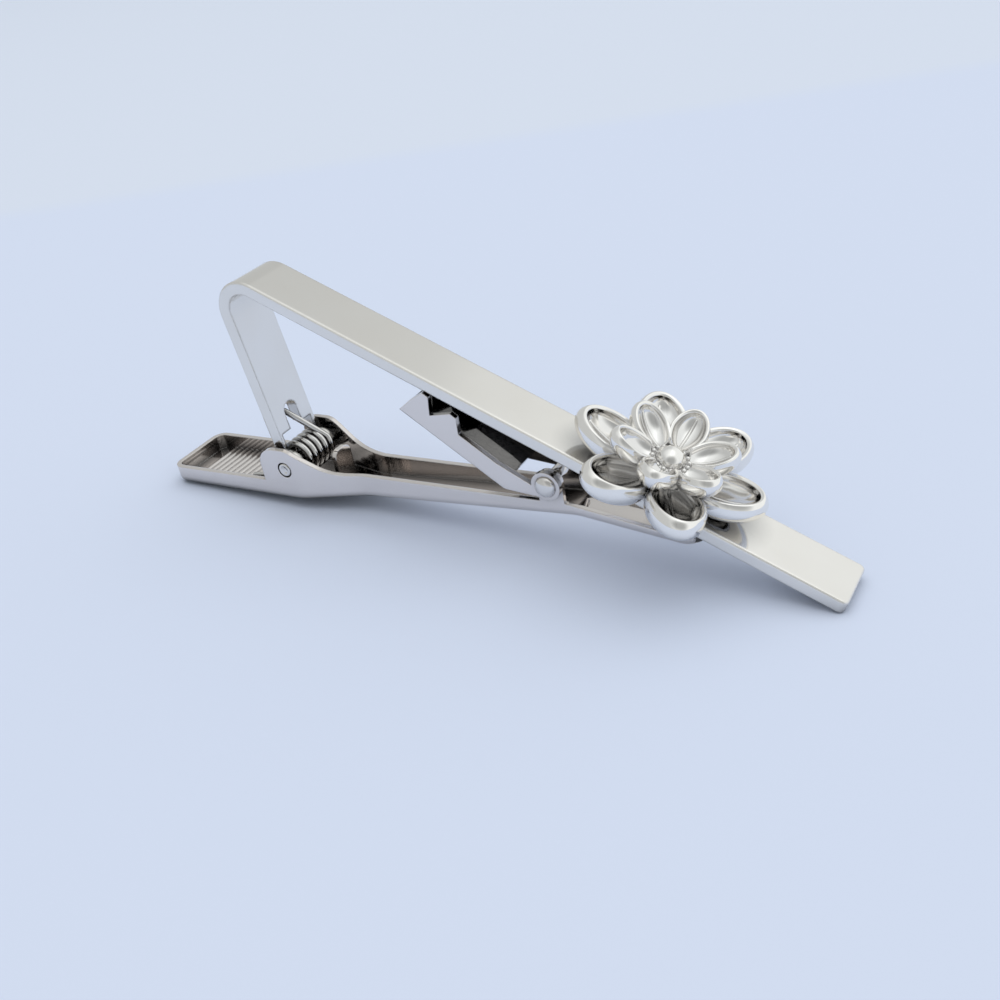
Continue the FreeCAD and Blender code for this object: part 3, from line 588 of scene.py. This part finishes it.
def ring_of_petals(form, centre, lift, pitch, hub, floor, well, turn):
    lean = Matrix.Translation((centre, 0.0, lift)) @ Matrix.Rotation(-pitch, 4, "Y")
    bmesh.ops.transform(form, matrix=lean, verts=form.verts)
    trim(form, (0, 0, floor), (0, 0, -1))
    trim(form, (well, 0, 0), (-1, 0, 0))
    bmesh.ops.remove_doubles(form, verts=form.verts, dist=SAME_POINT)
    repeat_round(form, PETALS)
    add_disc(form, hub, floor, floor + HUB, HUB_ROUND, rounds=2)
    bmesh.ops.transform(form, matrix=ROSETTE @ Matrix.Rotation(turn, 4, "Z"), verts=form.verts)


ring_of_petals(outer_petal, centre=4.55 * MM, lift=1.6 * MM, pitch=math.radians(12),
               hub=3.0 * MM, floor=0.0, well=2.2 * MM, turn=0.0)
ring_of_petals(inner_petal, centre=2.9 * MM, lift=2.95 * MM, pitch=math.radians(24),
               hub=2.2 * MM, floor=HUB, well=0.9 * EYE, turn=math.pi / PETALS)
outer_ring = make_piece("outer_petal_ring", outer_petal, rosette_plate)
inner_ring = make_piece("inner_petal_ring", inner_petal, rosette_plate)
for ring, node in ((outer_ring, "rosette_outer"), (inner_ring, "rosette_inner")):
    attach(ring, "bar")
    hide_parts(node)
    print(ring.name, len(ring.data.polygons), "faces")

# %% [markdown]
# ## The stud
# The flower's eye is the head of the stud that rivets both rings to the bar. Jewellers
# often set such a dome in a collar of tiny grains, pushed up from the metal with a hollow
# punch. The dome is a slightly flattened ball, half sunk, the grains are small balls
# turned round the collar, and the tail under the bar is a bevelled disc, as the hammer
# leaves it.

# %% Make the stud
BAR_GAUGE = 1.15 * MM
SEAT = 2 * HUB
GRAINS = 16
GRAIN = 0.21 * MM
GRAIN_INSET = 1.25 * GRAIN
GRAIN_LIFT = 0.32 * MM
COLLAR = 0.30 * MM
COLLAR_ROUND = 0.10 * MM
EYE_DOME_MM = (1.22, 1.22, 1.2)
EYE_DOME_LIFT = 0.15 * MM
DOME_COLUMNS = 40
DOME_ROWS = 24
SHANK_RADIUS = 0.75 * MM
SHANK_ROUND = 0.02 * MM
TAIL_RADIUS = 1.2 * MM
TAIL = 0.40 * MM
TAIL_ROUND = 0.15 * MM


def make_stud():
    form = bmesh.new()
    place = Matrix.Translation((EYE - GRAIN_INSET, 0.0, SEAT + GRAIN_LIFT))
    bmesh.ops.create_icosphere(form, subdivisions=2, radius=GRAIN, matrix=place)
    repeat_round(form, GRAINS)
    add_disc(form, EYE, SEAT, SEAT + COLLAR, COLLAR_ROUND)
    dome = Matrix.Translation((0, 0, SEAT + EYE_DOME_LIFT)) @ Matrix.Diagonal((*EYE_DOME_MM, 1.0))
    bmesh.ops.create_uvsphere(form, u_segments=DOME_COLUMNS, v_segments=DOME_ROWS, radius=MM,
                              matrix=dome)
    add_disc(form, SHANK_RADIUS, -BAR_GAUGE, SEAT, SHANK_ROUND)
    add_disc(form, TAIL_RADIUS, -BAR_GAUGE - TAIL, -BAR_GAUGE, TAIL_ROUND)
    bmesh.ops.transform(form, matrix=ROSETTE, verts=form.verts)
    return make_piece("grained_stud", form, rosette_plate)


stud = make_stud()
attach(stud, "bar")
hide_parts("rosette_stud")
print(stud.name, len(stud.data.polygons), "faces")

# %% [markdown]
# ## The pivot pin
# The hinge pin is a plain steel wire, cut to length and staked: a blow of the punch
# spreads each end in the lever's ear and leaves a shallow dish that is never quite in the
# middle. A drum with soft ends is drawn first, then the middle of each end is sunk and
# moved a little aside.

# %% Make the pin
PIN_RADIUS = 0.64 * MM
PIN_END = 3.55 * MM
PIN_SIDES = 48
PIN_ROUND = 0.14 * MM
FLAT_RIM = 0.10 * MM
DISH_SLOPE = 0.08 * MM
DISH_DEPTH = 0.12 * MM
DISH_ASIDE = Vector((0.07, 0.0, 0.07)) * MM


def round_ends(form):
    return [face for face in form.faces if len(face.verts) == PIN_SIDES]


def make_pin():
    form = bmesh.new()
    place = Matrix.Translation(HINGE) @ Matrix.Rotation(math.pi / 2, 4, "X")
    bmesh.ops.create_cone(form, cap_ends=True, segments=PIN_SIDES, radius1=PIN_RADIUS,
                          radius2=PIN_RADIUS, depth=2 * PIN_END, matrix=place)
    rims = [edge for face in round_ends(form) for edge in face.edges]
    bmesh.ops.bevel(form, geom=rims, offset=PIN_ROUND, segments=3, profile=0.5,
                    affect="EDGES", material=-1)
    ends = round_ends(form)
    for width in (FLAT_RIM, DISH_SLOPE):
        bmesh.ops.inset_individual(form, faces=ends, thickness=width)
    for face in ends:
        inward = -face.normal * DISH_DEPTH + DISH_ASIDE
        bmesh.ops.translate(form, verts=face.verts[:], vec=inward)
    return make_piece("staked_pin", form, pin_steel)


pin = make_pin()
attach(pin, "lever")
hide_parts("pivot_pin")
print(pin.name, len(pin.data.polygons), "faces")

# %% [markdown]
# ## The jaw rivet
# The jaw swings on a rivet that goes through both of its ears. Its heads are low domes,
# formed cold with a cupped punch, and they sit down on the ears without a line between.
# Two flattened balls, sunk half into the ears, and a plain shank make it.

# %% Make the jaw rivet
JAW_RIVET = joint_at["jaw_swivel"]
EAR_FACE = 2.65 * MM
RIVET_RADIUS = 0.6 * MM
RIVET_SIDES = 32
RIVET_DOME = (0.90 * MM, 0.52 * MM, 0.90 * MM)


def make_rivet():
    form = bmesh.new()
    place = Matrix.Translation(JAW_RIVET) @ Matrix.Rotation(math.pi / 2, 4, "X")
    bmesh.ops.create_cone(form, cap_ends=True, segments=RIVET_SIDES, radius1=RIVET_RADIUS,
                          radius2=RIVET_RADIUS, depth=2 * EAR_FACE, matrix=place)
    for side in (1, -1):
        head = Matrix.Translation(JAW_RIVET + Vector((0.0, side * EAR_FACE, 0.0)))
        dome = head @ Matrix.Diagonal((*RIVET_DOME, 1.0))
        bmesh.ops.create_uvsphere(form, u_segments=DOME_COLUMNS, v_segments=DOME_ROWS,
                                  radius=1.0, matrix=dome)
    return make_piece("domed_rivet", form, pin_steel)


rivet = make_rivet()
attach(rivet, "lever")
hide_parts("jaw_rivet")
print(rivet.name, len(rivet.data.polygons), "faces")
